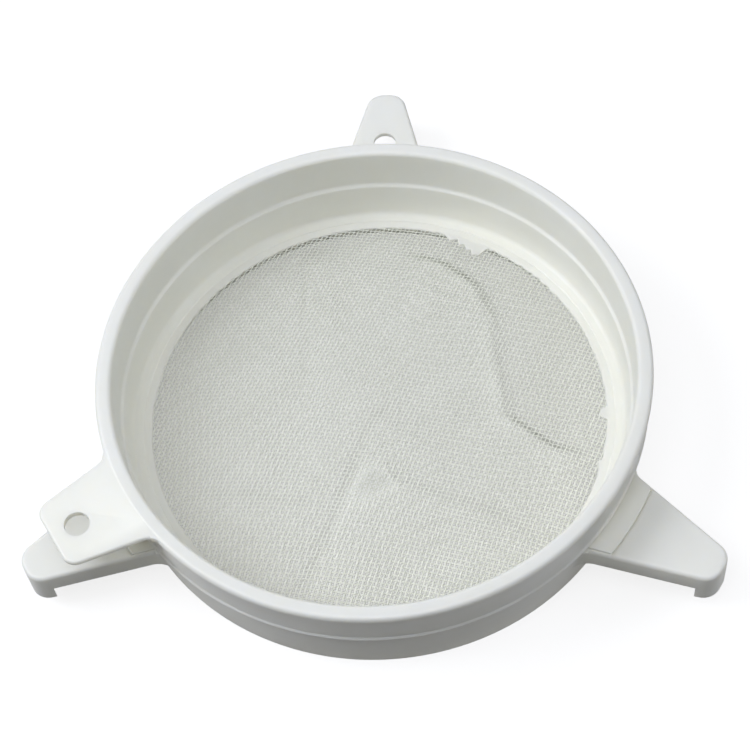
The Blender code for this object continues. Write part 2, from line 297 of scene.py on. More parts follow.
# The camera's angles, its distance from the point on the pans' axis that it aims at, and how far
# to the right of the picture's middle and below it that point lies.
CAMERA_TURN = 7.895
CAMERA_DOWN = 58.31
CAMERA_ROLL = -7.19
CAMERA_DISTANCE = 856.9
CAMERA_SHIFT = (-1.255, -4.057)
CAMERA_AIM_HEIGHT = 50.6
CAMERA_LENS = 95.8
SENSOR = 36.0


# ---------------------------------------------------------------- shapes


def arc(centre, radius, start, turn, steps):
    """Points of an arc, from the angle start through the angle turn."""
    angles = [start + turn * k / steps for k in range(steps + 1)]
    return [Vector((centre[0] + radius * cos(a), centre[1] + radius * sin(a))) for a in angles]


def rounded(corners):
    """A closed outline through corners (x, y, radius), each one rounded by its radius."""
    outline = []
    for i, (x, y, radius) in enumerate(corners):
        corner = Vector((x, y))
        if radius == 0:
            outline.append(corner)
            continue
        before = (Vector(corners[i - 1][:2]) - corner).normalized()
        after = (Vector(corners[(i + 1) % len(corners)][:2]) - corner).normalized()
        half = before.angle(after) / 2
        centre = corner + (before + after).normalized() * radius / sin(half)
        first = corner + before * radius / tan(half) - centre
        last = corner + after * radius / tan(half) - centre
        turn = atan2(first.cross(last), first.dot(last))
        steps = COARSE_STEPS if radius < FINE_ROUNDING else FINE_STEPS
        outline += arc(centre, radius, atan2(first.y, first.x), turn, steps)
    return outline


def mesh_object(name, bm):
    """An object on the pans' axis from a mesh in millimetres."""
    bmesh.ops.recalc_face_normals(bm, faces=bm.faces)
    bmesh.ops.scale(bm, verts=bm.verts, vec=(MM, MM, MM))
    mesh = bpy.data.meshes.new(name)
    bm.to_mesh(mesh)
    bm.free()
    made = bpy.data.objects.new(name, mesh)
    bpy.context.scene.collection.objects.link(made)
    made.location = (0.0, PAN_Y * MM, 0.0)
    return made


def turned(profile):
    """A ring: the closed profile (radius, height) turned about the pans' axis."""
    bm = bmesh.new()
    corners = [bm.verts.new((p[0], 0.0, p[1])) for p in profile]
    edges = [bm.edges.new((a, b)) for a, b in zip(corners, corners[1:] + corners[:1])]
    bmesh.ops.spin(
        bm, geom=corners + edges, cent=(0, 0, 0), axis=(0, 0, 1), angle=2 * pi,
        steps=SEGMENTS, use_merge=True,
    )
    return bm


def raised(outline, bottom, top, rounding=0.0, round_bottom=False, clear_radius=0.0):
    """A prism on the outline. Its top's rim is rounded where it lies beyond the clear radius.

    So is its bottom's rim, where that is asked for.
    """
    bm = bmesh.new()
    face = bm.faces.new([bm.verts.new((p[0], p[1], bottom)) for p in outline])
    grown = bmesh.ops.extrude_face_region(bm, geom=[face])["geom"]
    lifted = [v for v in grown if isinstance(v, bmesh.types.BMVert)]
    bmesh.ops.translate(bm, verts=lifted, vec=(0.0, 0.0, top - bottom))
    bmesh.ops.recalc_face_normals(bm, faces=bm.faces)
    if rounding:
        middle = (bottom + top) / 2
        rims = [
            e for e in bm.edges
            if e.verts[0].co.z == e.verts[1].co.z
            and (round_bottom or e.verts[0].co.z > middle)
            and min(v.co.xy.length for v in e.verts) > clear_radius
        ]
        bmesh.ops.bevel(
            bm, geom=rims, offset=rounding, segments=BEVEL_STEPS, profile=0.5, affect="EDGES",
            clamp_overlap=False,
        )
    return bm


def root_fillet(wall_radius, root_x, root_half_width, taper, radius):
    """The arc that leads from a round wall into an arm's tapering side, at positive y."""
    along = Vector((1.0, -taper)).normalized()
    outward = Vector((taper, 1.0)).normalized()
    beside = Vector((root_x, root_half_width)) + outward * radius
    back = beside.dot(along)
    centre_distance = wall_radius + radius
    back -= sqrt(back**2 - beside.length_squared + centre_distance**2)
    centre = beside - along * back
    to_wall = -centre.normalized()
    to_side = -outward
    turn = atan2(to_wall.cross(to_side), to_wall.dot(to_side))
    return arc(centre, radius, atan2(to_wall.y, to_wall.x), turn, FILLET_STEPS)


def arm_outline(wall_radius, root, half_width_at_root, taper, end_x, corner, fillet, root_end):
    """Plan of an arm: a rounded tip, tapering sides, and fillets into the round wall."""
    side = root_fillet(wall_radius, root, half_width_at_root, taper, fillet)
    end_half_width = half_width_at_root - taper * (end_x - root)
    spread = atan2(side[0].y, side[0].x)
    inside = arc((0, 0), root_end, spread, -2 * spread, ROOT_STEPS)
    tip = [(end_x, -end_half_width, corner), (end_x, end_half_width, corner)]
    lower = [(p.x, -p.y, 0) for p in side]
    upper = [(p.x, p.y, 0) for p in reversed(side)]
    return rounded(lower + tip + upper + [(p.x, p.y, 0) for p in inside])


# ---------------------------------------------------------------- pans


def upper_profile():
    """Section of the upper pan: rolled rim with a hanging skirt, stepped wall, floor ledge."""
    rim_inner = RIM_RADIUS - RIM_WIDTH
    lip_bottom = HEIGHT - RIM_LIP
    bead_radius = SKIRT_BOTTOM_RADIUS + BEAD_WIDTH
    channel_top = HEIGHT - WALL
    step_inner = UPPER_FLOOR_RADIUS + UPPER_WALL_DRAFT
    step_outer = step_inner + STEP_WIDTH
    floor_top = UPPER_FLOOR + UPPER_FLOOR_THICKNESS
    ledge = floor_top + BOND_BAND_DEPTH
    band_edge = UPPER_OPENING_RADIUS + BOND_BAND_WIDTH
    return rounded([
        (RIM_RADIUS, HEIGHT, RIM_ROUNDING),
        (RIM_RADIUS, lip_bottom, EDGE_ROUNDING),
        (RIM_RADIUS - RIM_LIP_STEP, lip_bottom - RIM_LIP_STEP / 2, SOFT_EDGE),
        (SKIRT_BOTTOM_RADIUS, SKIRT_BOTTOM + BEAD_HEIGHT + BEAD_SLOPE, EDGE_ROUNDING),
        (bead_radius, SKIRT_BOTTOM + BEAD_HEIGHT, SOFT_EDGE),
        (bead_radius, SKIRT_BOTTOM, EDGE_ROUNDING),
        (SKIRT_BOTTOM_RADIUS - SKIRT_WALL, SKIRT_BOTTOM, EDGE_ROUNDING),
        (RIM_RADIUS - WALL, channel_top, EDGE_ROUNDING),
        (rim_inner + WALL, channel_top, EDGE_ROUNDING),
        (step_outer + WALL, SHOULDER_TOP, EDGE_ROUNDING),
        (step_inner + WALL, SHOULDER_BOTTOM, EDGE_ROUNDING),
        (UPPER_FLOOR_RADIUS + WALL, UPPER_FLOOR, EDGE_ROUNDING),
        (UPPER_OPENING_RADIUS, UPPER_FLOOR, 0),
        (UPPER_OPENING_RADIUS, floor_top, 0),
        (band_edge, floor_top, 0),
        (band_edge + BOND_BAND_DEPTH, ledge, 0),
        (UPPER_FLOOR_RADIUS, ledge + LEDGE_RISE, FLOOR_ROUNDING),
        (step_inner, STEP_HEIGHT - STEP_SLOPE, STEP_INNER_ROUNDING),
        (step_outer, STEP_HEIGHT, STEP_OUTER_ROUNDING),
        (rim_inner, HEIGHT, RIM_ROUNDING),
    ])


def lower_profile():
    """Section of the lower pan: tapering wall on a foot ring, with a floor ledge above it."""
    floor_top = FOOT_HEIGHT + LOWER_FLOOR_THICKNESS
    inner_foot = FOOT_RADIUS - WALL
    return rounded([
        (LOWER_RIM_RADIUS, LOWER_HEIGHT, EDGE_ROUNDING),
        (FOOT_RADIUS, 0.0, SOFT_EDGE),
        (inner_foot, 0.0, SOFT_EDGE),
        (inner_foot, FOOT_HEIGHT, 0),
        (LOWER_OPENING_RADIUS, FOOT_HEIGHT, 0),
        (LOWER_OPENING_RADIUS, floor_top, 0),
        (inner_foot + EDGE_ROUNDING, floor_top + LEDGE_RISE, FLOOR_ROUNDING),
        (LOWER_RIM_RADIUS - WALL, LOWER_HEIGHT, EDGE_ROUNDING),
    ])


def lower_wall_radius(height):
    """Outer radius of the lower pan's wall at a height."""
    return FOOT_RADIUS + (LOWER_RIM_RADIUS - FOOT_RADIUS) * height / LOWER_HEIGHT


def arm_half_width(x, inset=0.0):
    """Half the arm's width at x, less an inset measured square to its sides."""
    return ARM_ROOT_HALF_WIDTH - ARM_TAPER * (x - ARM_ROOT_X) - inset * sqrt(1 + ARM_TAPER**2)


def arm_body():
    """An arm's outer shape, with the block at its tip that hangs outside the bucket's rim."""
    outline = arm_outline(
        lower_wall_radius(ARM_TOP - ARM_DEPTH), ARM_ROOT_X, ARM_ROOT_HALF_WIDTH, ARM_TAPER,
        ARM_TIP_RADIUS, ARM_TIP_ROUNDING, ARM_ROOT_FILLET, ARM_ROOT_END,
    )
    bm = raised(
        outline, ARM_TOP - ARM_DEPTH, ARM_TOP, ARM_EDGE_ROUNDING, clear_radius=ARM_CLEAR_RADIUS,
    )
    bmesh.ops.bisect_plane(
        bm, geom=bm.verts[:] + bm.edges[:] + bm.faces[:], plane_co=(HOOK_INNER_X, 0, 0),
        plane_no=(1, 0, 0),
    )
    bm.faces.ensure_lookup_table()
    under_tip = [
        f for f in bm.faces
        if f.normal.z < FACING_DOWN and f.calc_center_median().x > HOOK_INNER_X
    ]
    grown = bmesh.ops.extrude_face_region(bm, geom=under_tip)["geom"]
    lowered = [v for v in grown if isinstance(v, bmesh.types.BMVert)]
    bmesh.ops.translate(bm, verts=lowered, vec=(0.0, 0.0, ARM_DEPTH - HOOK_DEPTH))
    bmesh.ops.delete(bm, geom=under_tip, context="FACES")
    return bm


def pad_body():
    """A thin raised pad around the pan's wall, on the arm's root."""
    root_half = arm_half_width(ARM_ROOT_END, PAD_INSET)
    end_half = arm_half_width(PAD_RADIUS, PAD_INSET)
    reach = atan2(end_half, PAD_RADIUS)
    spread = atan2(root_half, ARM_ROOT_END)
    front = arc((0, 0), PAD_RADIUS, -reach, 2 * reach, ROOT_STEPS)
    back = arc((0, 0), ARM_ROOT_END, spread, -2 * spread, ROOT_STEPS)
    corners = [(p.x, p.y, 0) for p in front[1:-1]]
    corners.insert(0, (front[0].x, front[0].y, PAD_CORNER))
    corners.append((front[-1].x, front[-1].y, PAD_CORNER))
    corners += [(p.x, p.y, 0) for p in back]
    return raised(rounded(corners), ARM_TOP - ARM_PLATE / 2, ARM_TOP + PAD_HEIGHT, SOFT_EDGE)


def pad_groove():
    """A narrow groove in the arm's top, along the front of its pad."""
    half = arm_half_width(PAD_RADIUS, PAD_INSET)
    reach = atan2(half, PAD_RADIUS)
    near = arc((0, 0), PAD_RADIUS, reach, -2 * reach, ROOT_STEPS)
    far = arc((0, 0), PAD_RADIUS + PAD_GROOVE_WIDTH, -reach, 2 * reach, ROOT_STEPS)
    return raised(near + far, ARM_TOP - PAD_GROOVE_DEPTH, ARM_TOP + CUT_MARGIN)


def arm_hollow():
    """Space under the arm's plate, between its side skirts."""
    root_x = LOWER_RIM_RADIUS + ROOT_THICKENING
    corners = [
        (root_x, -arm_half_width(root_x, ARM_SKIRT), 0),
        (HOOK_INNER_X, -arm_half_width(HOOK_INNER_X, ARM_SKIRT), 0),
        (HOOK_INNER_X, arm_half_width(HOOK_INNER_X, ARM_SKIRT), 0),
        (root_x, arm_half_width(root_x, ARM_SKIRT), 0),
    ]
    return raised(rounded(corners), ARM_TOP - ARM_DEPTH - CUT_MARGIN, ARM_TOP - ARM_PLATE)


def hook_hollow():
    """Core of the tip's block, open below."""
    inner_x = HOOK_INNER_X + ARM_SKIRT
    end_x = ARM_TIP_RADIUS - ARM_SKIRT
    corners = [
        (inner_x, -arm_half_width(inner_x, ARM_SKIRT), 0),
        (end_x, -arm_half_width(end_x, ARM_SKIRT) + HOOK_CORE_CORNER, 0),
        (end_x, arm_half_width(end_x, ARM_SKIRT) - HOOK_CORE_CORNER, 0),
        (inner_x, arm_half_width(inner_x, ARM_SKIRT), 0),
    ]
    return raised(rounded(corners), ARM_TOP - HOOK_DEPTH - CUT_MARGIN, ARM_TOP - ARM_PLATE)


def round_cutter(x, radius, bottom, top):
    """What cuts a round hole through a plate with this bottom and top."""
    outline = arc((x, 0.0), radius, 0.0, 2 * pi, HOLE_SEGMENTS)[:-1]
    return raised(outline, bottom - CUT_MARGIN, top + CUT_MARGIN)


def flash_reach(azimuth):
    """How far the plastic ran inward from the upper ledge at an azimuth in degrees."""
    turn = radians(azimuth)
    around = Vector((cos(turn), sin(turn), 0.0)) * UPPER_OPENING_RADIUS / FLASH_LUMP
    lump = noise.noise(around)
    reach = FLASH_EDGE * (1 + lump)
    for centre, half_width, mark_reach in FLASH_MARKS:
        away = (azimuth - centre + 180) % 360 - 180
        away = radians(away) * UPPER_OPENING_RADIUS / half_width
        reach += mark_reach * exp(-away**4) * (1 + FLASH_UNEVENNESS * lump)
    return reach


def flash():
    """The thin skin of plastic that ran inward from the upper ledge over the cloth."""
    outer = UPPER_OPENING_RADIUS + BOND_BAND_WIDTH / 2
    floor_top = UPPER_FLOOR + UPPER_FLOOR_THICKNESS
    low = floor_top - FLASH_DEPTH
    top = floor_top - FLASH_SINK
    bm = bmesh.new()
    rings = []
    for k in range(FLASH_STEPS):
        azimuth = 360 * k / FLASH_STEPS
        inner = UPPER_OPENING_RADIUS - flash_reach(azimuth)
        section = (
            (outer, low), (inner + FLASH_RISE, low), (inner, low + FLASH_RISE),
            (inner, top - FLASH_RISE), (inner + FLASH_RISE, top), (outer, top),
        )
        turn = radians(azimuth)
        rings.append([bm.verts.new((r * cos(turn), r * sin(turn), z)) for r, z in section])
    for ring, after in zip(rings, rings[1:] + rings[:1]):
        for k in range(len(ring)):
            j = (k + 1) % len(ring)
            bm.faces.new((ring[k], ring[j], after[j], after[k]))
    return bm


def helper(bm, azimuth, group):
    """A shape that is added to or cut from a pan, turned to its azimuth about the axis."""
    made = mesh_object(group.name + "_shape", bm)
    made.rotation_euler = (0.0, 0.0, radians(azimuth))
    bpy.context.scene.collection.objects.unlink(made)
    group.objects.link(made)


def combined(target, added, cut):
    """The target with the added shapes joined on and the cut shapes taken away."""
    for group, operation in ((added, "UNION"), (cut, "DIFFERENCE")):
        step = target.modifiers.new(group.name, "BOOLEAN")
        step.operation = operation
        step.operand_type = "COLLECTION"
        step.collection = group
        step.solver = "EXACT"
    evaluated = target.evaluated_get(bpy.context.evaluated_depsgraph_get())
    mesh = bpy.data.meshes.new_from_object(evaluated)
    target.modifiers.clear()
    target.data = mesh
    for group in (added, cut):
        for shape in list(group.objects):
            bpy.data.objects.remove(shape, do_unlink=True)
        bpy.data.collections.remove(group)
    mesh.shade_smooth()
    mesh.set_sharp_from_angle(angle=SMOOTH_ANGLE)
    return target


def shape_group(name):
    """An empty group for the shapes that are added to a pan or cut from it."""
    group = bpy.data.collections.new(name)
    bpy.context.scene.collection.children.link(group)
    return group


def make_lower_pan():
    """The lower pan with its three hook arms and the hole in the back one."""
    pan = mesh_object("lower_pan", turned(lower_profile()))
    added = shape_group("lower_added")
    cut = shape_group("lower_cut")
    for azimuth in ARM_AZIMUTHS:
        helper(arm_body(), azimuth, added)
        helper(pad_body(), azimuth, added)
        helper(pad_groove(), azimuth, cut)
        helper(arm_hollow(), azimuth, cut)
        helper(hook_hollow(), azimuth, cut)
    hole = round_cutter(ARM_HOLE_X, ARM_HOLE_RADIUS, ARM_TOP - ARM_PLATE, ARM_TOP)
    helper(hole, ARM_AZIMUTHS[0], cut)
    return combined(pan, added, cut)


def make_upper_pan():
    """The upper pan with its tab, the tab's hole and the plastic over the cloth's edge."""
    pan = mesh_object("upper_pan", turned(upper_profile()))
    added = shape_group("upper_added")
    cut = shape_group("upper_cut")
    root_half_width = TAB_END_HALF_WIDTH + TAB_TAPER * (TAB_END_X - RIM_RADIUS)
    outline = arm_outline(
        TAB_WALL_RADIUS, RIM_RADIUS, root_half_width, TAB_TAPER, TAB_END_X,
        TAB_CORNER, TAB_ROOT_FILLET, TAB_ROOT_END,
    )
    bottom = TAB_TOP - TAB_THICKNESS
    tab = raised(outline, bottom, TAB_TOP, TAB_EDGE_ROUNDING, True, TAB_CLEAR_RADIUS)
    helper(tab, TAB_AZIMUTH, added)
    helper(flash(), 0.0, added)
    helper(round_cutter(TAB_HOLE_X, TAB_HOLE_RADIUS, bottom, TAB_TOP), TAB_AZIMUTH, cut)
    return combined(pan, added, cut)


# ---------------------------------------------------------------- cloths


def count_field(family):
    """Thread count across a family as a function of plan position, and its gradient."""
    across = radians(family["across"])
    base = np.array([cos(across), sin(across)]) / family["pitch"]
    stretch = np.array(family["stretch"])

    def count(p):
        return p @ base + (p**2 @ stretch) / 2

    def gradient(p):
        return base + p * stretch

    return count, gradient


def crossings(warp, weft, reach):
    """Plan positions of every warp and weft thread's crossing, indexed by thread numbers."""
    warp_count, warp_gradient = count_field(warp)
    weft_count, weft_gradient = count_field(weft)
    rows = int(reach * CROSSING_MARGIN / warp["pitch"])
    columns = int(reach * CROSSING_MARGIN / weft["pitch"])
    numbers = (np.arange(-rows, rows + 1), np.arange(-columns, columns + 1))
    i, j = np.meshgrid(*numbers, indexing="ij")
    p = np.zeros(i.shape + (2,))
    for _ in range(CROSSING_TRIES):
        miss = np.stack([i - warp_count(p), j - weft_count(p)], -1)
        slopes = np.stack([warp_gradient(p), weft_gradient(p)], -2)
        p += np.linalg.solve(slopes, miss[..., None])[..., 0]
    return p, (-1.0) ** (i + j)


def tube_mesh(name, lines, radius, sides):
    """One mesh of thin tubes with open ends, one along each line of points."""
    verts, faces, start = [], [], 0
    ring = np.arange(sides)
    angles = 2 * pi * (ring + 0.5) / sides
    for line in lines:
        along = np.gradient(line, axis=0)
        along /= np.linalg.norm(along, axis=1, keepdims=True)
        aside = np.cross(along, (0.0, 0.0, 1.0))
        aside /= np.linalg.norm(aside, axis=1, keepdims=True)
        up = np.cross(aside, along)
        spokes = aside[:, None] * np.cos(angles)[:, None] + up[:, None] * np.sin(angles)[:, None]
        verts.append((line[:, None] + radius * spokes).reshape(-1, 3))
        steps = np.arange(len(line) - 1)[:, None] * sides + start
        after = (ring + 1) % sides
        near, far = steps + ring, steps + after
        faces.append(np.stack([near, far, far + sides, near + sides], -1).reshape(-1, 4))
        start += len(line) * sides
    verts = np.concatenate(verts)
    faces = np.concatenate(faces)
    mesh = bpy.data.meshes.new(name)
    mesh.vertices.add(len(verts))
    mesh.vertices.foreach_set("co", (verts * MM).astype(np.float32).ravel())
    mesh.loops.add(faces.size)
    mesh.loops.foreach_set("vertex_index", faces.astype(np.int32).ravel())
    mesh.polygons.add(len(faces))
    mesh.polygons.foreach_set("loop_start", np.arange(0, faces.size, 4, dtype=np.int32))
    mesh.update(calc_edges=True)
    mesh.validate()
    mesh.shade_smooth()
    made = bpy.data.objects.new(name, mesh)
    bpy.context.scene.collection.objects.link(made)
    made.location = (0.0, PAN_Y * MM, 0.0)
    return made


def inside_stretch(points, reach):
    """The stretch of a thread that lies inside the reach, ended exactly on it."""
    within = np.flatnonzero(np.hypot(points[:, 0], points[:, 1]) < reach)
    if len(within) < 2:
        return None
    first, last = within[0], within[-1]
    if first == 0 or last == len(points) - 1:
        return None
    kept = points[first - 1:last + 2].copy()
    for end, neighbour in ((0, 1), (-1, -2)):
        inner, outer = kept[neighbour], kept[end]
        inner_r, outer_r = hypot(*inner[:2]), hypot(*outer[:2])
        kept[end] = inner + (outer - inner) * (reach - inner_r) / (outer_r - inner_r)
    return kept


def waves(x, y, height, length, place):
    """Height of slow, uneven waves at a point."""
    return height * noise.noise(Vector((x / length, y / length, place)))


def smooth(share):
    """A share from 0 to 1, eased in and out."""
    return share * share * (3 - 2 * share)


def slack(x, y):
    """How far the upper cloth's slack lifts it above or below its edge."""
    inside = max(0.0, 1 - (hypot(x, y) / UPPER_OPENING_RADIUS) ** 4)
    return inside * (waves(x, y, *UPPER_WAVES) - UPPER_SAG)


def level_crests(grid):
    """Two points for each crossing, so that a thread runs level over the one it crosses."""
    step = np.gradient(grid[..., :2], axis=1) * CREST_SHARE
    pair = np.repeat(grid[:, :, None], 2, axis=2)
    pair[:, :, 0, :2] -= step
    pair[:, :, 1, :2] += step
    return pair.reshape(len(grid), -1, 3)


def make_upper_cloth():
    """The coarse cloth: both families of threads, which pass over and under each other."""
    reach = UPPER_CLOTH_RADIUS - THREAD_END_MARGIN
    p, over = crossings(UPPER_WARP, UPPER_WEFT, UPPER_CLOTH_RADIUS)
    rng = np.random.default_rng(THREAD_SEED)
    p = p + rng.normal(0.0, THREAD_DRIFT, p.shape)
    slacks = np.vectorize(slack)(p[..., 0], p[..., 1])
    pieces = []
    for name, family, sign in (
        ("upper_cloth_warp", UPPER_WARP, 1),
        ("upper_cloth_weft", UPPER_WEFT, -1),
    ):
        z = UPPER_CLOTH_HEIGHT + slacks + sign * over * family["crimp"]
        grid = np.concatenate([p, z[..., None]], -1)
        if family is UPPER_WEFT:
            grid = grid.transpose(1, 0, 2)
        lines = [inside_stretch(line, reach) for line in level_crests(grid)]
        lines = [line for line in lines if line is not None]
        pieces.append(tube_mesh(name, lines, family["thread"] / 2, UPPER_SIDES))
    return pieces


def fold_height(x, y, line, height, steep, gentle):
    """Height that one fold adds at a point: a steep side, a crest and a gentle side."""
    best = None
    lengths = [hypot(b[0] - a[0], b[1] - a[1]) for a, b in zip(line, line[1:])]
    total = sum(lengths)
    done = 0.0
    for (ax, ay), (bx, by), length in zip(line, line[1:], lengths):
        ux, uy = (bx - ax) / length, (by - ay) / length
        t = min(max((x - ax) * ux + (y - ay) * uy, 0.0), length)
        dx, dy = x - ax - ux * t, y - ay - uy * t
        distance = hypot(dx, dy)
        if best is None or distance < best[0]:
            side = 1 if ux * dy - uy * dx <= 0 else -1
            best = (distance, side, done + t)
        done += length
    distance, side, along = best
    across = distance * side
    if across < 0 or across > steep + gentle * FOLD_TAIL:
        return 0.0
    if across < steep:
        share = smooth(across / steep)
    else:
        share = exp(-((across - steep) / gentle) ** 2)
    ends = min(1.0, along / FOLD_FADE, (total - along) / FOLD_FADE)
    return height * share * max(0.0, ends)


def creases(x, y):
    """Height of the lower cloth above its edge."""
    lift = CLOTH_SLACK + sum(fold_height(x, y, *fold) for fold in FOLDS)
    lift += waves(x, y, *LOWER_WAVES)
    inside = min(1.0, (LOWER_OPENING_RADIUS - hypot(x, y)) / RIM_FADE)
    return max(0.0, lift) * smooth(max(0.0, inside))


def make_lower_cloth():
    """The fine cloth: threads too fine to show their crimp, on the creased sheet."""
    reach = LOWER_CLOTH_RADIUS - THREAD_END_MARGIN
    pieces = []
    for name, family, lift in (
        ("lower_cloth_warp", LOWER_WARP, LOWER_THREAD / 2),
        ("lower_cloth_weft", LOWER_WEFT, -LOWER_THREAD / 2),
    ):
        across = Vector((cos(radians(family["across"])), sin(radians(family["across"]))))
        along = Vector((-across.y, across.x))
        lines = []
        count = int(reach / family["pitch"])
        for k in range(-count, count + 1):
            offset = k * family["pitch"]
            half = sqrt(reach**2 - offset**2)
            if half < LOWER_STEP:
                continue
            steps = max(2, round(2 * half / LOWER_STEP))
            points = []
            for s in range(steps + 1):
                q = across * offset + along * (half * (2 * s / steps - 1))
                points.append((q.x, q.y, LOWER_CLOTH_HEIGHT + lift + creases(q.x, q.y)))
            lines.append(np.array(points))
        pieces.append(tube_mesh(name, lines, LOWER_THREAD / 2, LOWER_SIDES))
    return pieces


# ---------------------------------------------------------------- materials


class Nodes:
    """A material's nodes, added and linked in one call each."""

    def __init__(self, name):
        self.material = bpy.data.materials.new(name)
        self.material.use_nodes = True
        self.tree = self.material.node_tree
        self.shader = self.tree.nodes["Principled BSDF"]

    def add(self, kind, **inputs):
        """A node; an input is a value or another node's output. A name's _ stands for a space."""
        made = self.tree.nodes.new("ShaderNode" + kind)
        for key, value in inputs.items():
            key = key.replace("_", " ")
            if hasattr(value, "links"):
                self.tree.links.new(value, made.inputs[key])
            else:
                made.inputs[key].default_value = value
        return made

    def link(self, source, target):
        self.tree.links.new(source, target)

    def noise(self, place, scale, detail=3.0, rough=0.5):
        made = self.add("TexNoise", Vector=place, Scale=scale, Detail=detail, Roughness=rough)
        return made.outputs["Fac"]

    def spread(self, value, low, high, from_low=0.3, from_high=0.7):
        made = self.add("MapRange")
        self.link(value, made.inputs["Value"])
        made.inputs["From Min"].default_value = from_low
        made.inputs["From Max"].default_value = from_high
        made.inputs["To Min"].default_value = low
        made.inputs["To Max"].default_value = high
        return made.outputs["Result"]

    def tint(self, amount, first, second):
        made = self.tree.nodes.new("ShaderNodeMix")
        made.data_type = "RGBA"
        self.link(amount, made.inputs["Factor"])
        for socket, colour in zip(MIX_COLOURS, (first, second)):
            if hasattr(colour, "links"):
                self.link(colour, made.inputs[socket])
            else:
                made.inputs[socket].default_value = (*colour, 1.0)
        return made.outputs[MIX_RESULT]

    def bump(self, height, distance, strength=1.0, below=None):
        made = self.add("Bump", Height=height, Distance=distance, Strength=strength)
        if below is not None:
            self.link(below, made.inputs["Normal"])
        return made.outputs["Normal"]


def plastic(name, light, deep, roughness):
    """Satin white polyethylene: milky depth, faint mottling, mould grain and handling marks."""
    n = Nodes(name)
    place = n.add("TexCoord").outputs["Object"]
    flow = n.add("Mapping", Vector=place, Scale=(1.0, 1.0, 7.0)).outputs["Vector"]
    mottling = n.noise(place, scale=34.0, detail=4.0)
    streaks = n.noise(flow, scale=60.0, detail=5.0, rough=0.6)
    grain = n.noise(place, scale=2600.0, detail=2.0)
    ripple = n.noise(place, scale=90.0, detail=2.0)
    colour = n.tint(n.spread(mottling, 0.0, 1.0), light, deep)
    streaked = n.spread(streaks, 0.0, 0.35, from_low=0.45, from_high=0.75)
    colour = n.tint(streaked, colour, deep)
    n.link(colour, n.shader.inputs["Base Color"])
    scuffs = n.add("TexVoronoi", Vector=flow, Scale=95.0)
    scuffs.feature = "DISTANCE_TO_EDGE"
    worn = n.spread(scuffs.outputs["Distance"], 1.0, 0.0, from_low=0.0, from_high=0.02)
    handled = n.noise(place, scale=22.0, detail=3.0)
    patches = n.spread(handled, 0.0, 1.0, from_low=0.5, from_high=0.7)
    marks = n.add("Math")
    marks.operation = "MULTIPLY"
    n.link(worn, marks.inputs[0])
    n.link(patches, marks.inputs[1])
    gloss = n.spread(streaks, roughness - 0.05, roughness + 0.07)
    rough = n.add("Math")
    rough.operation = "MULTIPLY_ADD"
    n.link(marks.outputs[0], rough.inputs[0])
    rough.inputs[1].default_value = WORN_ROUGHNESS
    n.link(gloss, rough.inputs[2])
    n.link(rough.outputs[0], n.shader.inputs["Roughness"])
    normal = n.bump(ripple, distance=0.00025, strength=0.5)
    normal = n.bump(grain, distance=0.00002, strength=0.7, below=normal)
    normal = n.bump(marks.outputs[0], distance=-0.00002, strength=0.6, below=normal)
    n.link(normal, n.shader.inputs["Normal"])
    n.shader.inputs["IOR"].default_value = 1.5
    n.shader.inputs["Specular Tint"].default_value = (1.0, 0.98, 0.88, 1.0)
    n.shader.inputs["Subsurface Weight"].default_value = 0.6
    n.shader.inputs["Subsurface Radius"].default_value = (1.0, 0.92, 0.78)
    n.shader.inputs["Subsurface Scale"].default_value = 0.006
    return n.material


def nylon(name, light, deep, roughness, grain_scale):
    """Translucent white monofilament: tone that drifts from thread to thread, drawn grain."""
    n = Nodes(name)
    place = n.add("TexCoord").outputs["Object"]
    drift = n.noise(place, scale=45.0, detail=3.0)
    speckle = n.noise(place, scale=grain_scale, detail=2.0)
    colour = n.tint(n.spread(drift, 0.0, 1.0), light, deep)
    drawn = n.spread(speckle, 0.0, 0.4, from_low=0.4, from_high=0.8)
    colour = n.tint(drawn, colour, deep)
    n.link(colour, n.shader.inputs["Base Color"])
    n.link(n.spread(speckle, roughness - 0.06, roughness + 0.08), n.shader.inputs["Roughness"])
    normal = n.bump(speckle, distance=0.00001, strength=0.5)
    n.link(normal, n.shader.inputs["Normal"])
    n.shader.inputs["IOR"].default_value = 1.53
    return n.material


def floor_surface():
    """Pale studio sweep with a faint paper grain."""
    n = Nodes("studio_floor")
    place = n.add("TexCoord").outputs["Object"]
    grain = n.noise(place, scale=900.0, detail=3.0)
    colour = n.tint(n.spread(grain, 0.0, 1.0), *FLOOR_TONES)
    n.link(colour, n.shader.inputs["Base Color"])
    n.shader.inputs["Roughness"].default_value = 0.9
    n.shader.inputs["Specular IOR Level"].default_value = 0.1
    n.shader.inputs["Emission Color"].default_value = (1.0, 1.0, 1.0, 1.0)
    n.shader.inputs["Emission Strength"].default_value = 0.80
    return n.material


# ---------------------------------------------------------------- camera and studio


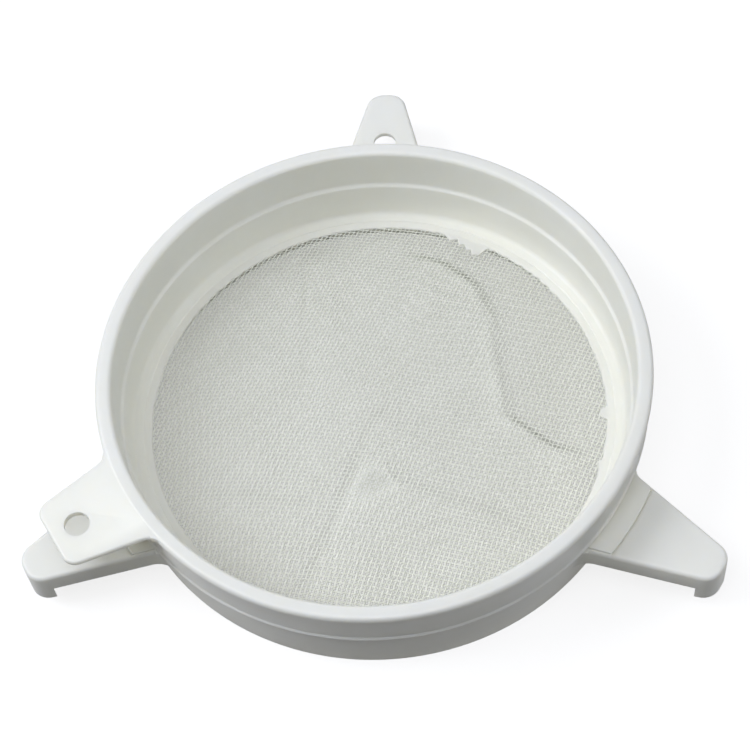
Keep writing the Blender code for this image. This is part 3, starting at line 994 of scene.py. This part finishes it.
def make_camera():
    """The camera: aimed at the rim's plane from in front and above, and slightly rolled."""
    down_angle = radians(CAMERA_DOWN)
    right = Vector((1.0, 0.0, 0.0))
    down = Vector((0.0, -sin(down_angle), -cos(down_angle)))
    forward = Vector((0.0, cos(down_angle), -sin(down_angle)))
    roll = radians(CAMERA_ROLL)
    right_rolled = cos(roll) * right - sin(roll) * down
    down_rolled = sin(roll) * right + cos(roll) * down
    place = -forward * CAMERA_DISTANCE
    place -= right_rolled * CAMERA_SHIFT[0] + down_rolled * CAMERA_SHIFT[1]
    axes = Matrix((right_rolled, -down_rolled, -forward)).transposed().to_4x4()
    turn = Matrix.Rotation(radians(CAMERA_TURN), 4, "Z")
    aim = Matrix.Translation((0.0, PAN_Y * MM, CAMERA_AIM_HEIGHT * MM))
    camera = bpy.data.cameras.new("camera")
    camera.lens = CAMERA_LENS
    camera.sensor_width = SENSOR
    made = bpy.data.objects.new("camera", camera)
    bpy.context.scene.collection.objects.link(made)
    made.matrix_world = aim @ turn @ Matrix.Translation(place * MM) @ axes
    bpy.context.scene.camera = made


def area_light(name, azimuth, elevation, power):
    """A soft square light, seen from the object at an azimuth from +X and an elevation."""
    light = bpy.data.lights.new(name, "AREA")
    light.shape = "SQUARE"
    light.size = LIGHT_SIZE
    light.energy = power
    light.color = LIGHT_COLOUR
    made = bpy.data.objects.new(name, light)
    bpy.context.scene.collection.objects.link(made)
    turn, rise = radians(azimuth), radians(elevation)
    out = Vector((cos(turn) * cos(rise), sin(turn) * cos(rise), sin(rise)))
    made.location = Vector((0.0, PAN_Y * MM, HEIGHT * MM / 2)) + out * LIGHT_DISTANCE
    made.rotation_euler = out.to_track_quat("Z", "Y").to_euler()


def make_world():
    """Faint light from all round: least from the horizon, most from below."""
    world = bpy.data.worlds.new("studio")
    bpy.context.scene.world = world
    world.use_nodes = True
    tree = world.node_tree
    background = tree.nodes["Background"]
    place = tree.nodes.new("ShaderNodeTexCoord")
    parts = tree.nodes.new("ShaderNodeSeparateXYZ")
    ramp = tree.nodes.new("ShaderNodeValToRGB")
    height = tree.nodes.new("ShaderNodeMapRange")
    height.inputs["From Min"].default_value = -1.0
    tree.links.new(place.outputs["Generated"], parts.inputs[0])
    tree.links.new(parts.outputs["Z"], height.inputs["Value"])
    tree.links.new(height.outputs["Result"], ramp.inputs["Fac"])
    tree.links.new(ramp.outputs["Color"], background.inputs["Color"])
    elements = ramp.color_ramp.elements
    while len(elements) < len(SKY_STOPS):
        elements.new(0.5)
    for element, (position, level) in zip(elements, SKY_STOPS):
        element.position = position
        element.color = (level, level, level * SKY_BLUE_SHARE, 1.0)
    background.inputs["Strength"].default_value = 1.0


def make_floor():
    """A pale round floor just under the object, which throws no light back on it."""
    bm = bmesh.new()
    bmesh.ops.create_circle(bm, cap_ends=True, segments=FLOOR_SEGMENTS, radius=FLOOR_RADIUS)
    mesh = bpy.data.meshes.new("studio_floor")
    bm.to_mesh(mesh)
    bm.free()
    mesh.materials.append(floor_surface())
    floor = bpy.data.objects.new("studio_floor", mesh)
    bpy.context.scene.collection.objects.link(floor)
    floor.location = (0.0, 0.0, cad_low.z - FLOOR_DROP)
    floor.visible_diffuse = False


def make_studio():
    """The surroundings, the floor and the lights."""
    make_world()
    make_floor()
    for light in LIGHTS:
        area_light(*light)
    scene = bpy.context.scene
    scene.view_settings.view_transform = "Standard"


# ---------------------------------------------------------------- the object


def dress(piece, material, body, slot_name, *nodes):
    """Gives a piece its material and body, and hides the CAD nodes that it stands for. Its slot
    name is not used.
    """
    piece.data.materials.clear()
    piece.data.materials.append(material)
    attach(piece, body)
    if nodes:
        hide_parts(*nodes)


def main():
    """The studio and every piece, with its material, its body and what it stands for."""
    make_camera()
    make_studio()
    satin = plastic("white_plastic", *PLASTIC_TONES, roughness=0.40)
    dress(make_upper_pan(), satin, "upper_sieve", "upper_plastic", "upper_sieve_frame")
    duller = plastic("lower_white_plastic", *PLASTIC_TONES, roughness=0.43)
    dress(make_lower_pan(), duller, "lower_sieve", "lower_plastic", "lower_sieve_frame")

    upper_warp, upper_weft = make_upper_cloth()
    coarse = nylon("upper_nylon", *UPPER_NYLON_TONES, roughness=0.36, grain_scale=3000.0)
    dress(upper_warp, coarse, "upper_sieve", "upper_nylon", "upper_sieve_cloth")
    dress(upper_weft, coarse, "upper_sieve", "upper_nylon")

    lower_warp, lower_weft = make_lower_cloth()
    fine = nylon("lower_nylon", *LOWER_NYLON_TONES, roughness=0.42, grain_scale=3500.0)
    dress(lower_warp, fine, "lower_sieve", "lower_nylon", "lower_sieve_cloth")
    dress(lower_weft, fine, "lower_sieve", "lower_nylon")


main()
